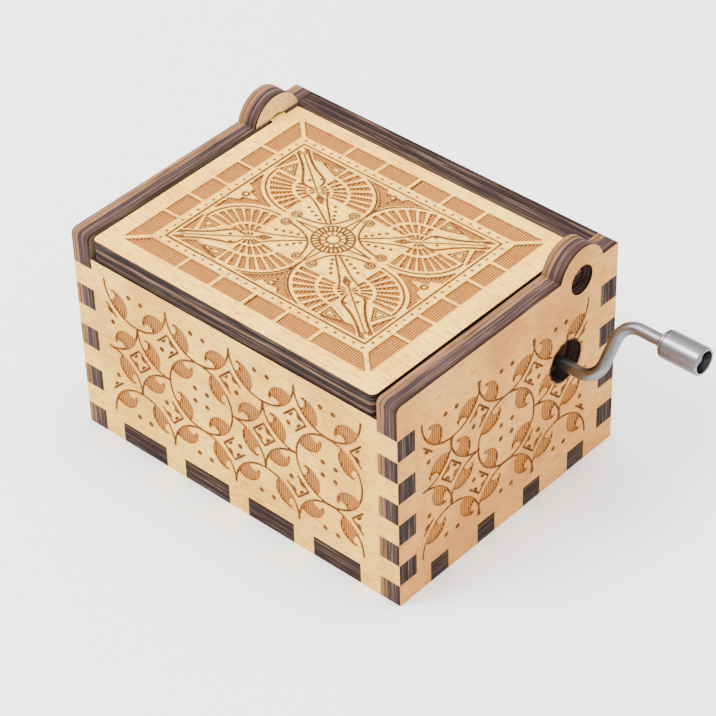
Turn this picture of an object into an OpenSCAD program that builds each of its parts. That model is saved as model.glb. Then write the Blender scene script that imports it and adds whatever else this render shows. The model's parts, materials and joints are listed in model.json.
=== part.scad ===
// Hand crank music box: a finger-jointed plywood case with a hinged lid and an
// eighteen-note cylinder movement that is turned by a bent steel crank.
// Millimetres. X runs along the long front, Y to the back, Z up.
// The origin is the middle of the case's underside.

/* [Case] */
// Outside width of the case along the front
box_w = 65; // [62:0.5:72]
// Outside depth of the case, front to back
box_d = 50; // [49:0.5:58]
// Height of the side panels
box_h = 38; // [36:0.5:46]
// Thickness of the plywood
ply = 3.8; // [3:0.1:4]
// Height of one finger of the corner joints
finger_h = 4; // [3.5:0.1:4.2]
// Width of the base panel's tabs in the front and back
long_tab_w = 9.4; // [8:0.1:10]
// Spacing of the tabs in the front and back
long_tab_pitch = 13.4; // [12:0.1:14]
// Width of the base panel's tabs in the two sides
side_tab_w = 4; // [3:0.1:5]
// Spacing of the tabs in the two sides
side_tab_pitch = 10.7; // [9:0.1:11]

/* [Lid] */
// Gap between the lid and each side panel
lid_side_gap = 0.6; // [0.4:0.1:1]
// Gap between the lid's underside and the front panel
lid_under_gap = 0.2; // [0.1:0.1:0.4]
// Distance of the hinge axis from the outside of the back
hinge_inset = 8.6; // [8:0.1:9]
// Radius of the hinge holes in the side panels
hinge_hole_r = 2.5; // [2.5:0.1:3]
// Length of the lid's hinge tabs along the hinge axis
hinge_tab_len = 3; // [2.5:0.1:3.4]
// Width of the lid's hinge tabs, front to back
hinge_tab_w = 3; // [2.4:0.1:3]
// Radius of the round ear above each hinge hole
ear_r = 5; // [4.5:0.1:5.5]

/* [Crank] */
// Radius of the crank's clearance hole in the right panel
crank_hole_r = 3.55; // [3:0.05:4]
// Height of the crank axis above the table
crank_z = 22; // [21.5:0.1:23]
// Distance of the crank axis from the outside of the back
crank_inset = 12; // [11.8:0.1:12.4]
// Radius of the crank wire
wire_r = 1; // [0.9:0.05:1.2]
// Bend radius of the wire at its centre line
bend_r = 3.35; // [2.5:0.05:3.8]
// Distance from the crank axis to the knob's axis
crank_throw = 10; // [9:0.1:12]
// How far the arm leans outwards over its length
arm_lean = 0.75; // [0:0.05:2]
// Angle of the arm above the horizontal, towards the back
arm_angle = 58.5; // [0:0.5:90]
// Length of the knob
knob_len = 7.2; // [6:0.1:10]
// Radius of the knob
knob_r = 2.3; // [2.2:0.05:3]

/* [Movement] */
// Number of teeth in the comb
notes = 18; // [12:1:18]
// Distance from one comb tooth to the next
note_pitch = 1.08; // [1:0.02:1.1]
// Radius of the brass cylinder
drum_r = 6.3; // [6:0.1:6.4]
// Height of a pin above the cylinder
pin_h = 0.55; // [0.4:0.05:0.6]
// Teeth of the worm wheel
wheel_teeth = 20; // [18:1:21]
// Pitch of the worm's thread
worm_pitch = 1.6; // [1.5:0.05:1.6]

/* [Hidden] */
eps = 0.01;
$fn = 64;

// Case
in_x = box_w / 2 - ply;
in_y = box_d / 2 - ply;
front_top = box_h - ply - lid_under_gap;
hinge_y = box_d / 2 - hinge_inset;
hinge_z = box_h - ply / 2;
ear_z = box_h - 1.1;
corner_r = 1;
lid_w = 2 * (in_x - lid_side_gap);
lid_front = -box_d / 2 + 0.1;
lid_back = in_y - 0.6;

// Crank and worm gear
crank_y = box_d / 2 - crank_inset;
crank_hole_z = crank_z + 0.8;
drum_x = 7;
worm_r = 2.1;
worm_wave = 0.5;
worm_len = 4 * worm_pitch;
wheel_r = wheel_teeth * worm_pitch / (2 * PI);
gear_gap = wheel_r + worm_r + 0.1;
wheel_tip_r = gear_gap - (worm_r - worm_wave) - 0.25;
wheel_w = 2;
arm_x = box_w / 2 + 5.87;
arm_slope = atan2(crank_throw, arm_lean);
bend_cut = bend_r * tan(arm_slope / 2);
arm_len = sqrt(pow(crank_throw, 2) + pow(arm_lean, 2)) - 2 * bend_cut;
knob_x = box_w / 2 + 14.05;
knob_bore_len = knob_len - 1.8;
wire_in_x = drum_x - 9.2;
wire_end_x = knob_x + knob_bore_len + 0.25;

// Cylinder and comb
drum_z = crank_z - gear_gap;
comb_len = notes * note_pitch;
drum_len = comb_len + 0.6;
drum_wall = 0.8;
cap_t = 1.6;
drum_y = crank_y - wheel_w / 2 - 3.5 - drum_len;
arbor_r = 1;
arbor_gap = 0.05;
shaft_gap = 0.06;
comb_y = drum_y + drum_len / 2 - comb_len / 2;
comb_tip_x = drum_x - drum_r - pin_h - 0.15;
comb_top = drum_z + 0.5;
comb_t = 1.6;
tooth_t = 0.8;
tooth_root_x = comb_tip_x - 12;
comb_back_x = tooth_root_x - 8;
tooth_gap = 0.3;
ledge_w = tooth_root_x - 0.6 - comb_back_x;
ledge_y = comb_y - 3;
ledge_len = comb_len + 6;
comb_screw_x = comb_back_x + 3.6;
comb_screw_r = 0.9;

// Bedplate
foot_h = 1.8;
bed_z = ply + foot_h;
bed_t = 2;
bed_top = bed_z + bed_t;
bed_x0 = comb_back_x - 4;
bed_x1 = 20.5;
bed_y0 = -18.4;
bed_y1 = 20.4;
foot_in = 3.2;
foot_r = 3;
mount_screw_r = 1.1;
mount_head_r = 2.4;
mount_head_h = 1.3;
mount_points = [[bed_x0 + foot_in, bed_y0 + foot_in], [bed_x1 - foot_in, bed_y0 + foot_in],
                [bed_x0 + foot_in, bed_y1 - foot_in], [bed_x1 - foot_in, bed_y1 - foot_in]];
comb_screw_ys = [for (i = [0:2]) comb_y + comb_len * (0.12 + 0.38 * i)];
bearing_half_w = 6.6;
bearing_t = 1.6;
bearing_front_y = drum_y - 1.1 - bearing_t;
bearing_rear_y = crank_y + wheel_w / 2 + 2;
bearing_foot_d = 3;
bearing_foot_t = 1.2;
bearing_screw_dx = 4.9;
small_screw_r = 0.7;
bearing_points = [for (y = [bearing_front_y + bearing_t - bearing_foot_d / 2,
                            bearing_rear_y + bearing_foot_d / 2], s = [-1, 1])
                  [drum_x + s * bearing_screw_dx, y]];
bracket_t = 1.6;
bracket_half_in = 6.2;
bracket_d = 4.8;
bracket_tab = 3.8;
bracket_foot_t = 1;
bracket_points = [for (s = [-1, 1])
                  [drum_x + s * (bracket_half_in + bracket_t + bracket_tab / 2), crank_y]];

birch = [0.88, 0.76, 0.58];
steel = [0.72, 0.73, 0.75];
brass = [0.83, 0.67, 0.33];
cast = [0.62, 0.63, 0.64];

// Shared shapes ---------------------------------------------------------

// A board that stands across the case, drawn with X along it and Z up.
module board_xz(y, t) {
    translate([0, y + t, 0]) rotate([90, 0, 0]) linear_extrude(t) children();
}

// A board that stands front to back, drawn with Y along it and Z up.
module board_yz(x, t) {
    translate([x, 0, 0]) rotate([90, 0, 90]) linear_extrude(t) children();
}

// A rectangle with round corners, from corner to corner.
module round_rect(x0, y0, x1, y1, r) {
    translate([x0 + r, y0]) square([x1 - x0 - 2 * r, y1 - y0]);
    translate([x0, y0 + r]) square([x1 - x0, y1 - y0 - 2 * r]);
    for (x = [x0 + r, x1 - r], y = [y0 + r, y1 - r]) translate([x, y]) circle(r);
}

// Notches along the lower edge, where the base panel's tabs come through.
module tab_notches(w, pitch) {
    for (i = [-1.5:1:1.5]) translate([i * pitch - w / 2, -eps]) square([w, ply + eps]);
}

// A front or back panel: the body between the sides and its corner fingers.
module cross_panel_outline(top) {
    difference() {
        union() {
            translate([-in_x, 0]) square([2 * in_x, top]);
            for (i = [1:2:7])
                translate([-box_w / 2, i * finger_h]) square([box_w, finger_h]);
        }
        tab_notches(long_tab_w, long_tab_pitch);
    }
}

// A side panel: fingers, a round ear over the hinge, and a round front corner.
module side_panel_outline() {
    difference() {
        union() {
            translate([-in_y, 0]) square([2 * in_y, box_h]);
            for (i = [0:2:6])
                translate([-box_d / 2, i * finger_h]) square([box_d, finger_h]);
            translate([-box_d / 2 + corner_r, 8 * finger_h])
                square([box_d - corner_r, box_h - 8 * finger_h]);
            translate([-box_d / 2, 8 * finger_h])
                square([box_d / 2, box_h - 8 * finger_h - corner_r]);
            translate([-box_d / 2 + corner_r, box_h - corner_r]) circle(corner_r);
            translate([hinge_y, ear_z]) circle(ear_r);
        }
        tab_notches(side_tab_w, side_tab_pitch);
        translate([hinge_y, hinge_z]) circle(hinge_hole_r);
    }
}

// A slotted cheese-head screw, its head resting at z = 0 and its shank below.
module slotted_screw(head_r, head_h, shank_r, shank_len) {
    difference() {
        cylinder(r = head_r, h = head_h);
        translate([-head_r - 1, -head_r * 0.13, head_h * 0.5])
            cube([2 * head_r + 2, head_r * 0.26, head_h]);
    }
    translate([0, 0, -shank_len]) cylinder(r = shank_r, h = shank_len + eps);
}

// A disc or bore along Y.
module along_y(x, y, z, r, len) {
    translate([x, y + len, z]) rotate([90, 0, 0]) cylinder(r = r, h = len);
}

// A disc or bore along X.
module along_x(x, y, z, r, len) {
    translate([x, y, z]) rotate([0, 90, 0]) cylinder(r = r, h = len);
}

// Case ------------------------------------------------------------------

module front_panel() {
    color(birch) board_xz(-box_d / 2, ply) cross_panel_outline(front_top);
}

module back_panel() {
    color(birch) board_xz(in_y, ply) cross_panel_outline(box_h);
}

module left_panel() {
    color(birch) board_yz(-box_w / 2, ply) side_panel_outline();
}

module right_panel() {
    color(birch) board_yz(in_x, ply) difference() {
        side_panel_outline();
        translate([crank_y, crank_hole_z]) circle(crank_hole_r);
    }
}

// The base panel and its sixteen tabs, countersunk from below for the movement.
module bottom_panel() {
    color(birch) difference() {
        linear_extrude(ply) {
            translate([-in_x, -in_y]) square([2 * in_x, 2 * in_y]);
            for (i = [-1.5:1:1.5]) {
                translate([i * long_tab_pitch - long_tab_w / 2, -box_d / 2])
                    square([long_tab_w, box_d]);
                translate([-box_w / 2, i * side_tab_pitch - side_tab_w / 2])
                    square([box_w, side_tab_w]);
            }
        }
        for (p = mount_points) translate([p[0], p[1], 0]) mount_screw_space(0.1);
    }
}

// One board with a rectangular hinge tab at each end and round front corners.
module lid() {
    color(birch) translate([0, 0, box_h - ply]) linear_extrude(ply) {
        translate([-lid_w / 2, lid_front + corner_r])
            square([lid_w, lid_back - lid_front - corner_r]);
        translate([-lid_w / 2 + corner_r, lid_front])
            square([lid_w - 2 * corner_r, lid_back - lid_front]);
        for (s = [-1, 1])
            translate([s * (lid_w / 2 - corner_r), lid_front + corner_r]) circle(corner_r);
        translate([-lid_w / 2 - hinge_tab_len, hinge_y - hinge_tab_w / 2])
            square([lid_w + 2 * hinge_tab_len, hinge_tab_w]);
    }
}

// Movement frame --------------------------------------------------------

// The countersunk hole that a mount screw takes in the base panel.
module mount_screw_space(gap) {
    translate([0, 0, -eps])
        cylinder(r1 = mount_head_r + gap, r2 = mount_screw_r + gap, h = mount_head_h);
    cylinder(r = mount_screw_r + gap, h = ply + eps);
}

// A countersunk screw that comes up through the base into the bedplate's foot.
module mount_screw(i) {
    p = mount_points[i - 1];
    color(steel) translate([p[0], p[1], 0.05]) difference() {
        union() {
            cylinder(r1 = mount_head_r, r2 = mount_screw_r, h = mount_head_h);
            cylinder(r = mount_screw_r, h = bed_top - 0.6);
        }
        for (a = [0, 90]) rotate(a) translate([-1.3, -0.25, -eps]) cube([2.6, 0.5, 0.6]);
    }
}

// Cast plate on four feet, with the raised ledge that carries the comb.
module bedplate() {
    color(cast) difference() {
        union() {
            translate([0, 0, bed_z]) linear_extrude(bed_t)
                round_rect(bed_x0, bed_y0, bed_x1, bed_y1, foot_r);
            for (p = mount_points) translate([p[0], p[1], ply])
                cylinder(r = foot_r, h = foot_h + eps);
            translate([comb_back_x, ledge_y, bed_top - eps])
                cube([ledge_w, ledge_len, comb_top - comb_t - bed_top + eps]);
        }
        for (p = mount_points) translate([p[0], p[1], ply - eps])
            cylinder(r = mount_screw_r, h = bed_top - ply - 0.5);
        for (y = comb_screw_ys) translate([comb_screw_x, y, bed_top + 0.5])
            cylinder(r = comb_screw_r, h = 20);
        for (p = concat(bearing_points, bracket_points))
            translate([p[0], p[1], bed_z + 0.4]) cylinder(r = small_screw_r, h = 20);
    }
}

// Spring-steel comb: a thick back, thin teeth, the longest slots at the low notes.
module comb() {
    color(steel) difference() {
        union() {
            translate([comb_back_x, ledge_y, comb_top - comb_t])
                cube([ledge_w, ledge_len, comb_t]);
            translate([comb_back_x + ledge_w - eps, comb_y, comb_top - tooth_t])
                cube([comb_tip_x - comb_back_x - ledge_w + eps, comb_len, tooth_t]);
        }
        for (i = [1:notes - 1])
            translate([comb_tip_x - 11.4 + 4.2 * i / notes, comb_y + i * note_pitch - tooth_gap / 2,
                       comb_top - 2])
                cube([20, tooth_gap, 4]);
        for (y = comb_screw_ys) translate([comb_screw_x, y, comb_top - 3])
            cylinder(r = comb_screw_r + 0.1, h = 6);
    }
}

// A lead weight under the tip of a low tooth.
module bass_weight(i) {
    h = 2 - 0.25 * i;
    color([0.4, 0.41, 0.43])
        translate([comb_tip_x - 5, comb_y + (i - 1) * note_pitch + tooth_gap / 2 + 0.05,
                   comb_top - tooth_t - h])
            cube([3.6, note_pitch - tooth_gap - 0.1, h]);
}

module comb_screw(i) {
    color(steel) translate([comb_screw_x, comb_screw_ys[i - 1], comb_top])
        rotate(25 + 50 * i) slotted_screw(1.8, 1.1, comb_screw_r, 5);
}

// A bearing plate for one end of the cylinder: a post with a round head and a foot.
module bearing(y, foot_y) {
    color(cast) difference() {
        union() {
            board_xz(y, bearing_t) {
                translate([drum_x - 3, bed_top]) square([6, drum_z - bed_top]);
                translate([drum_x, drum_z]) circle(3);
            }
            translate([drum_x - bearing_half_w, foot_y, bed_top])
                cube([2 * bearing_half_w, bearing_foot_d, bearing_foot_t]);
        }
        along_y(drum_x, y - 1, drum_z, arbor_r + arbor_gap, bearing_t + 2);
        for (p = bearing_points) translate([p[0], p[1], bed_top - 1])
            cylinder(r = small_screw_r + 0.1, h = 4);
    }
}

module bearing_front() {
    bearing(bearing_front_y, bearing_front_y + bearing_t - bearing_foot_d);
}

module bearing_rear() {
    bearing(bearing_rear_y, bearing_rear_y);
}

module bearing_screw(i) {
    p = bearing_points[i - 1];
    color(brass) translate([p[0], p[1], bed_top + bearing_foot_t]) rotate(40 * i)
        slotted_screw(1.2, 0.8, small_screw_r, 2.6);
}

// A bent steel bracket whose two ears carry the crank on both sides of the worm.
module crank_bracket() {
    color(steel) difference() {
        union() {
            translate([drum_x - bracket_half_in - bracket_t - bracket_tab, crank_y - bracket_d / 2,
                       bed_top])
                cube([2 * (bracket_half_in + bracket_t + bracket_tab), bracket_d,
                      bracket_foot_t]);
            for (x = [drum_x - bracket_half_in - bracket_t, drum_x + bracket_half_in])
                board_yz(x, bracket_t) {
                    translate([crank_y - bracket_d / 2, bed_top])
                        square([bracket_d, crank_z - bed_top]);
                    translate([crank_y, crank_z]) circle(bracket_d / 2);
                }
        }
        along_x(drum_x - 20, crank_y, crank_z, wire_r + shaft_gap, 40);
        for (p = bracket_points) translate([p[0], p[1], bed_top - 1])
            cylinder(r = small_screw_r + 0.1, h = 4);
    }
}

module bracket_screw(i) {
    p = bracket_points[i - 1];
    color(brass) translate([p[0], p[1], bed_top + bracket_foot_t]) rotate(70 * i)
        slotted_screw(1.3, 0.8, small_screw_r, 2.4);
}

// Cylinder --------------------------------------------------------------

// Number of pins on a note's track, and where pin k of note i stands.
function pin_count(i) = 5 + (i * 7) % 4;
function pin_angle(i, k) = (k * 360 + ((i * 5 + k * k * 3) % 11) * 9) / pin_count(i) + 23 * i;

// Brass sleeve with the tune's steel pins standing out of it.
module drum() {
    color(brass) union() {
        difference() {
            along_y(drum_x, drum_y, drum_z, drum_r, drum_len);
            along_y(drum_x, drum_y - 1, drum_z, drum_r - drum_wall, drum_len + 2);
        }
        for (i = [0:notes - 1], k = [0:pin_count(i) - 1])
            translate([drum_x, comb_y + (i + 0.5) * note_pitch, drum_z])
                rotate([0, pin_angle(i, k), 0]) translate([0, 0, drum_r - 0.4])
                    cylinder(r = 0.2, h = pin_h + 0.4, $fn = 6);
    }
}

module drum_cap(y, boss_y, boss_len) {
    color(brass) difference() {
        union() {
            along_y(drum_x, y, drum_z, drum_r - drum_wall, cap_t);
            along_y(drum_x, boss_y, drum_z, 2, boss_len);
        }
        along_y(drum_x, y - 5, drum_z, arbor_r, 20);
    }
}

module drum_cap_front() {
    drum_cap(drum_y, drum_y - 0.9, 1);
}

module drum_cap_rear() {
    drum_cap(drum_y + drum_len - cap_t, drum_y + drum_len - 1, 1.4);
}

module drum_arbor() {
    color(steel) along_y(drum_x, bearing_front_y - 0.8, drum_z, arbor_r,
                         bearing_rear_y + bearing_t - bearing_front_y + 1.6);
}

// One wheel tooth, drawn with the wheel's centre at the origin and the tip up.
module wheel_tooth() {
    root = [wheel_r - 0.9, 0.62];
    shoulder = [gear_gap - worm_r - worm_wave, 0.52];
    flank = [wheel_r, 0.32];
    tip = [wheel_tip_r, 0.14];
    polygon([for (p = [root, shoulder, flank, tip]) [-p[1], p[0]],
             for (p = [tip, flank, shoulder, root]) [p[1], p[0]]]);
}

// Worm wheel with its two hubs, one tooth standing straight up under the worm.
module worm_wheel() {
    color(brass) difference() {
        union() {
            board_xz(crank_y - wheel_w / 2, wheel_w) translate([drum_x, drum_z]) {
                circle(wheel_r - 0.7);
                for (i = [0:wheel_teeth - 1]) rotate(i * 360 / wheel_teeth) wheel_tooth();
            }
            along_y(drum_x, drum_y + drum_len + 0.4, drum_z, 2.4,
                    crank_y - drum_y - drum_len - 0.4);
            along_y(drum_x, crank_y, drum_z, 2, bearing_rear_y - 0.2 - crank_y);
        }
        along_y(drum_x, -20, drum_z, arbor_r, 60);
    }
}

// Crank -----------------------------------------------------------------

// The wire's route, drawn with X along the crank axis and the arm along +Y.
module crank_route() {
    x1 = arm_x - bend_cut;
    x2 = arm_x + arm_lean + bend_cut;
    along_x(wire_in_x, 0, 0, wire_r, x1 - wire_in_x);
    translate([x1, bend_r, 0]) rotate([0, 0, -90]) rotate_extrude(angle = arm_slope)
        translate([bend_r, 0]) circle(wire_r);
    translate([x1 + bend_r * sin(arm_slope), bend_r * (1 - cos(arm_slope)), 0])
        rotate([0, 0, arm_slope]) along_x(0, 0, 0, wire_r, arm_len);
    translate([x2, crank_throw - bend_r, 0]) rotate([0, 0, 90])
        rotate_extrude(angle = arm_slope) translate([bend_r, 0]) circle(wire_r);
    along_x(x2, crank_throw, 0, wire_r, wire_end_x - x2);
}

// One steel wire, bent twice, that is both the crank's shaft and its arm.
module crank_wire() {
    color(steel) translate([0, crank_y, crank_z]) rotate([arm_angle, 0, 0]) crank_route();
}

// Single-start worm, phased so that a wheel tooth sits in the middle of its groove.
module worm() {
    phase = 180 - 360 * worm_len / 2 / worm_pitch;
    color(brass) difference() {
        translate([drum_x - worm_len / 2, crank_y, crank_z]) rotate([0, 90, 0])
            linear_extrude(worm_len, twist = -360 * worm_len / worm_pitch, slices = 56)
                rotate(phase) translate([worm_wave, 0]) circle(worm_r, $fn = 24);
        along_x(drum_x - 20, crank_y, crank_z, wire_r, 40);
    }
}

// A ring on the wire that keeps the crank from sliding.
module wire_ring(x, r, w) {
    color(steel) difference() {
        along_x(x, crank_y, crank_z, r, w);
        along_x(x - 1, crank_y, crank_z, wire_r, w + 2);
    }
}

module crank_collar() {
    wire_ring(drum_x + bracket_half_in + bracket_t + 0.15, 2.3, 2);
}

module crank_clip() {
    wire_ring(drum_x - bracket_half_in - bracket_t - 0.95, 1.9, 0.8);
}

// Everything that is centred on the knob's axis, drawn along X from the knob's inner end.
module on_knob_axis() {
    translate([knob_x, crank_y, crank_z]) rotate([arm_angle, 0, 0])
        translate([0, crank_throw, 0]) rotate([90, 0, 90]) children();
}

// Turned sleeve: a chamfer and a groove at the inner end, a counterbore at the outer end.
module crank_knob() {
    bore = wire_r + shaft_gap;
    cup = knob_r - 0.45;
    color(steel) on_knob_axis() rotate_extrude() polygon([
        [bore, 0], [cup, 0], [knob_r - 0.1, 0.35], [knob_r - 0.1, 0.6],
        [knob_r - 0.25, 0.6], [knob_r - 0.25, 0.8], [knob_r, 0.8], [knob_r, knob_len - 0.2],
        [knob_r - 0.15, knob_len], [cup, knob_len], [cup, knob_bore_len], [bore, knob_bore_len]]);
}

// The wire's end, spread into a rivet head inside the knob's counterbore.
module knob_rivet() {
    color(steel) on_knob_axis() translate([0, 0, knob_bore_len + 0.25]) rotate_extrude()
        polygon([[0, 0], [1.45, 0], [1.45, 0.25], [1.1, 0.6], [0.5, 0.75], [0, 0.75]]);
}

// Assembly --------------------------------------------------------------

front_panel();
back_panel();
left_panel();
right_panel();
bottom_panel();
lid();
bedplate();
comb();
bearing_front();
bearing_rear();
crank_bracket();
drum();
drum_cap_front();
drum_cap_rear();
drum_arbor();
worm_wheel();
crank_wire();
worm();
crank_collar();
crank_clip();
knob_rivet();
crank_knob();
for (i = [1:3]) comb_screw(i);
for (i = [1:5]) bass_weight(i);
for (i = [1:4]) bearing_screw(i);
for (i = [1:2]) bracket_screw(i);
for (i = [1:4]) mount_screw(i);
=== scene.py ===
import json
import math

import bmesh
import bpy
import numpy as np
from mathutils import Matrix, Vector


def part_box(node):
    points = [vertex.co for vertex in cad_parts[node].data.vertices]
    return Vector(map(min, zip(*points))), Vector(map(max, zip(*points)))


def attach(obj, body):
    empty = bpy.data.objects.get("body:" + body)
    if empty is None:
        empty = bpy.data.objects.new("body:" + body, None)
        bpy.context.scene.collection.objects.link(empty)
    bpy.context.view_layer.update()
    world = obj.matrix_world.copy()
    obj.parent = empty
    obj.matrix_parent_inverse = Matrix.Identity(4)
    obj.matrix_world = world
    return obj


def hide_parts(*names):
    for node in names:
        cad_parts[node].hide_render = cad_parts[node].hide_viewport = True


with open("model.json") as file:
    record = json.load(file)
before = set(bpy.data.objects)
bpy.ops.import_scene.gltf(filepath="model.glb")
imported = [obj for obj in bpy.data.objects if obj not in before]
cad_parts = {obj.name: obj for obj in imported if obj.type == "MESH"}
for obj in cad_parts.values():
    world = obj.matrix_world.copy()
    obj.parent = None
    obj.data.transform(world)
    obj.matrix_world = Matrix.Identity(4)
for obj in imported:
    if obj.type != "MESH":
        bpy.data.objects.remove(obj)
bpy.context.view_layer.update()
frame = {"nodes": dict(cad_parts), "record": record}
nodes = frame["nodes"]
MM = 0.001  # a millimetre, in the scene's metres

# ---------------------------------------------------------------- camera

AZIMUTH, ELEVATION, ROLL = (math.radians(a) for a in (42.84, 39.55, -1.71))
DISTANCE = 456.24 * MM
AIM_RIGHT, AIM_UP = 1.39 * MM, 10.96 * MM
LENS, SENSOR = 145.53, 36.0
NEAREST, FARTHEST = 0.01, 20


def place_camera():
    """A long lens on the front right corner, its axes turned by azimuth, elevation and a little roll."""
    back = Vector((math.sin(AZIMUTH) * math.cos(ELEVATION), -math.cos(AZIMUTH) * math.cos(ELEVATION),
                   math.sin(ELEVATION)))
    level = Vector((0, 0, 1)).cross(back).normalized()
    upright = back.cross(level)
    right = math.cos(ROLL) * level + math.sin(ROLL) * upright
    up = back.cross(right)
    data = bpy.data.cameras.new("camera")
    data.lens, data.sensor_width, data.sensor_fit = LENS, SENSOR, "HORIZONTAL"
    data.clip_start, data.clip_end = NEAREST, FARTHEST
    camera = bpy.data.objects.new("camera", data)
    where = right * AIM_RIGHT + up * AIM_UP + back * DISTANCE
    camera.matrix_world = Matrix.Translation(where) @ Matrix((right, up, back)).transposed().to_4x4()
    bpy.context.scene.collection.objects.link(camera)
    bpy.context.scene.camera = camera


# ---------------------------------------------------------------- shader helpers

def srgb(r, g, b):
    """A colour given as values from 0 to 255, turned into linear light."""
    c = np.array([r, g, b]) / 255
    return (*np.where(c <= 0.04045, c / 12.92, ((c + 0.055) / 1.055) ** 2.4), 1.0)


class Finish:
    """A material under construction: short calls that add and join its nodes."""

    def __init__(self, name):
        self.material = bpy.data.materials.new(name)
        self.material.use_nodes = True
        self.tree = self.material.node_tree
        self.shader = self.tree.nodes["Principled BSDF"]
        self.place = self.add("ShaderNodeTexCoord").outputs["Object"]

    def add(self, kind, **settings):
        """A new shader node with its settings."""
        node = self.tree.nodes.new(kind)
        for key, value in settings.items():
            setattr(node, key, value)
        return node

    def join(self, source, socket):
        """Links one node's result to another's socket."""
        self.tree.links.new(source, socket)

    def feed(self, socket, value):
        """Links a result to a socket, or sets a plain value on it."""
        if isinstance(value, bpy.types.NodeSocket):
            self.join(value, socket)
        else:
            socket.default_value = value

    def scaled(self, x, y, z):
        """Object coordinates stretched by a factor along each axis."""
        node = self.add("ShaderNodeMapping")
        node.inputs["Scale"].default_value = (x, y, z)
        self.join(self.place, node.inputs["Vector"])
        return node.outputs["Vector"]

    def noise(self, vector, scale, detail=3.0, rough=0.55, warp=0.0):
        """Cloudy values about 0.5, with scale clouds to a metre."""
        node = self.add("ShaderNodeTexNoise")
        self.join(vector, node.inputs["Vector"])
        for key, value in zip(("Scale", "Detail", "Roughness", "Distortion"), (scale, detail, rough, warp)):
            node.inputs[key].default_value = value
        return node.outputs["Fac"]

    def math(self, operation, a, b=0.0):
        """One step of arithmetic on a and b."""
        node = self.add("ShaderNodeMath", operation=operation)
        self.feed(node.inputs[0], a)
        self.feed(node.inputs[1], b)
        return node.outputs[0]

    def fade(self, value, start, end, low=0.0, high=1.0):
        """value mapped smoothly from start..end to low..high, and held outside."""
        node = self.add("ShaderNodeMapRange", interpolation_type="SMOOTHSTEP")
        names = ("Value", "From Min", "From Max", "To Min", "To Max")
        for key, number in zip(names, (value, start, end, low, high)):
            self.feed(node.inputs[key], number)
        return node.outputs["Result"]

    def mix(self, amount, a, b):
        """Colour a, turned into colour b by an amount from 0 to 1."""
        node = self.add("ShaderNodeMix", data_type="RGBA")
        factor, colour_a, colour_b = node.inputs[0], node.inputs[6], node.inputs[7]
        self.feed(factor, amount)
        self.feed(colour_a, a)
        self.feed(colour_b, b)
        return node.outputs[2]

    def ramp(self, value, stops):
        """The colour at a value from 0 to 1, between stops given as (place, colour)."""
        node = self.add("ShaderNodeValToRGB")
        elements = node.color_ramp.elements
        while len(elements) < len(stops):
            elements.new(0.5)
        for element, (at, colour) in zip(elements, stops):
            element.position, element.color = at, colour
        self.join(value, node.inputs["Fac"])
        return node.outputs["Color"]

    def attribute(self, name):
        """A number that the mesh carries at each point."""
        return self.add("ShaderNodeAttribute", attribute_name=name).outputs["Fac"]

    def along(self, axis):
        """One object coordinate, in metres."""
        node = self.add("ShaderNodeSeparateXYZ")
        self.join(self.place, node.inputs[0])
        return node.outputs["XYZ".index(axis)]

    def distance(self, hole):
        """Distance from the rim of a round hole along X, given as (y, z, r)."""
        y, z, r = hole
        dy = self.math("SUBTRACT", self.along("Y"), y)
        dz = self.math("SUBTRACT", self.along("Z"), z)
        squares = self.math("ADD", self.math("MULTIPLY", dy, dy), self.math("MULTIPLY", dz, dz))
        return self.math("SUBTRACT", self.math("SQRT", squares), r)

    def bump(self, height, strength, distance, below=None):
        """A normal tilted by a height that reaches over distance, on top of the normal below."""
        node = self.add("ShaderNodeBump")
        node.inputs["Strength"].default_value = strength
        node.inputs["Distance"].default_value = distance
        self.join(height, node.inputs["Height"])
        if below is not None:
            self.join(below, node.inputs["Normal"])
        return node.outputs["Normal"]

    def done(self, colour, rough, normal=None, fixed=()):
        """Feeds the shader, sets its fixed sockets and hands over the material."""
        self.feed(self.shader.inputs["Base Color"], colour)
        self.feed(self.shader.inputs["Roughness"], rough)
        if normal is not None:
            self.join(normal, self.shader.inputs["Normal"])
        for key, value in dict(fixed).items():
            self.shader.inputs[key].default_value = value
        return self.material


# ---------------------------------------------------------------- wood finishes

GRAIN = {"X": (1, 9, 9), "Y": (9, 1, 9), "Z": (9, 9, 1)}  # stretch of the fibres along each axis
HATCH_PITCH = 0.42 * MM
UNCUT = 5.0  # distance in mm given to every point that lies far from the engraving

# Tones of bare birch and of what the laser does to it, and a painted shade for the gap under the lid
FIBRE, DARK_FLECK, PALE_FLECK = srgb(184, 112, 54), srgb(150, 90, 42), srgb(254, 208, 128)
HATCH_LIGHT, HATCH_DARK = srgb(190, 124, 52), srgb(102, 58, 22)
LINE_LIGHT, LINE_DARK = srgb(128, 78, 34), srgb(96, 56, 26)
HALO, BURNT_RIM = srgb(196, 130, 56), srgb(72, 40, 18)
# The first tone on the next line is painted shade, a dark brown for the shadow on the walls' inner faces
# under the lid; the second is the laser's burn round the crank hole
GAP_SHADE_PAINTED, SCORCH = srgb(54, 44, 50), srgb(40, 22, 12)
# how strong the painted shade is, and over what height it fades out above the lid's top
GAP_SHADE_STRENGTH, GAP_SHADE_EDGE = 0.84, 0.5 * MM
SCORCH_REACH, SCORCH_RAG = 0.55 * MM, 0.9 * MM
WOOD_GLOSS = {"Specular IOR Level": 0.1}


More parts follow.
